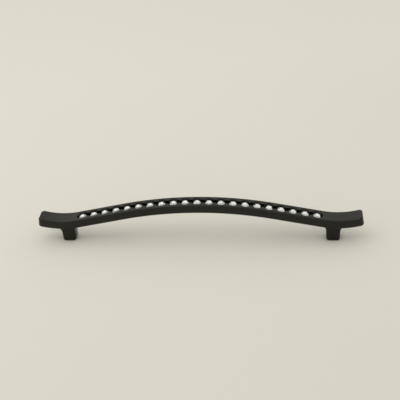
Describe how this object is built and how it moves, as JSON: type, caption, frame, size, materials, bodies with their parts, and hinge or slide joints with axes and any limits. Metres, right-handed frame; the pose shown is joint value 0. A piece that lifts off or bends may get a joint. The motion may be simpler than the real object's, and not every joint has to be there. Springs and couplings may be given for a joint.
{
  "type": "cabinet handle",
  "caption": "Arched black bow handle on posts, with upturned ends and a row of clear cut crystals set along its top face, for a cabinet door or drawer.",
  "frame": {"origin": "midway between the two screw holes, on the plane of the post feet that seats on the door", "axes": "+X along the handle, +Y across it, +Z away from the door or drawer front"},
  "size_m": [0.1956, 0.0104, 0.0262],
  "materials": {
    "black_finish": "satin black coat on a zinc casting",
    "crystal": "clear cut glass with a foiled flat back"
  },
  "bodies": {
    "root": {"handle_body": "black_finish", "crystal_01": "crystal", "crystal_02": "crystal", "crystal_03": "crystal", "crystal_04": "crystal", "crystal_05": "crystal", "crystal_06": "crystal", "crystal_07": "crystal", "crystal_08": "crystal", "crystal_09": "crystal", "crystal_10": "crystal", "crystal_11": "crystal", "crystal_12": "crystal", "crystal_13": "crystal", "crystal_14": "crystal", "crystal_15": "crystal", "crystal_16": "crystal", "crystal_17": "crystal", "crystal_18": "crystal", "crystal_19": "crystal", "crystal_20": "crystal", "crystal_21": "crystal"}
  },
  "joints": []
}
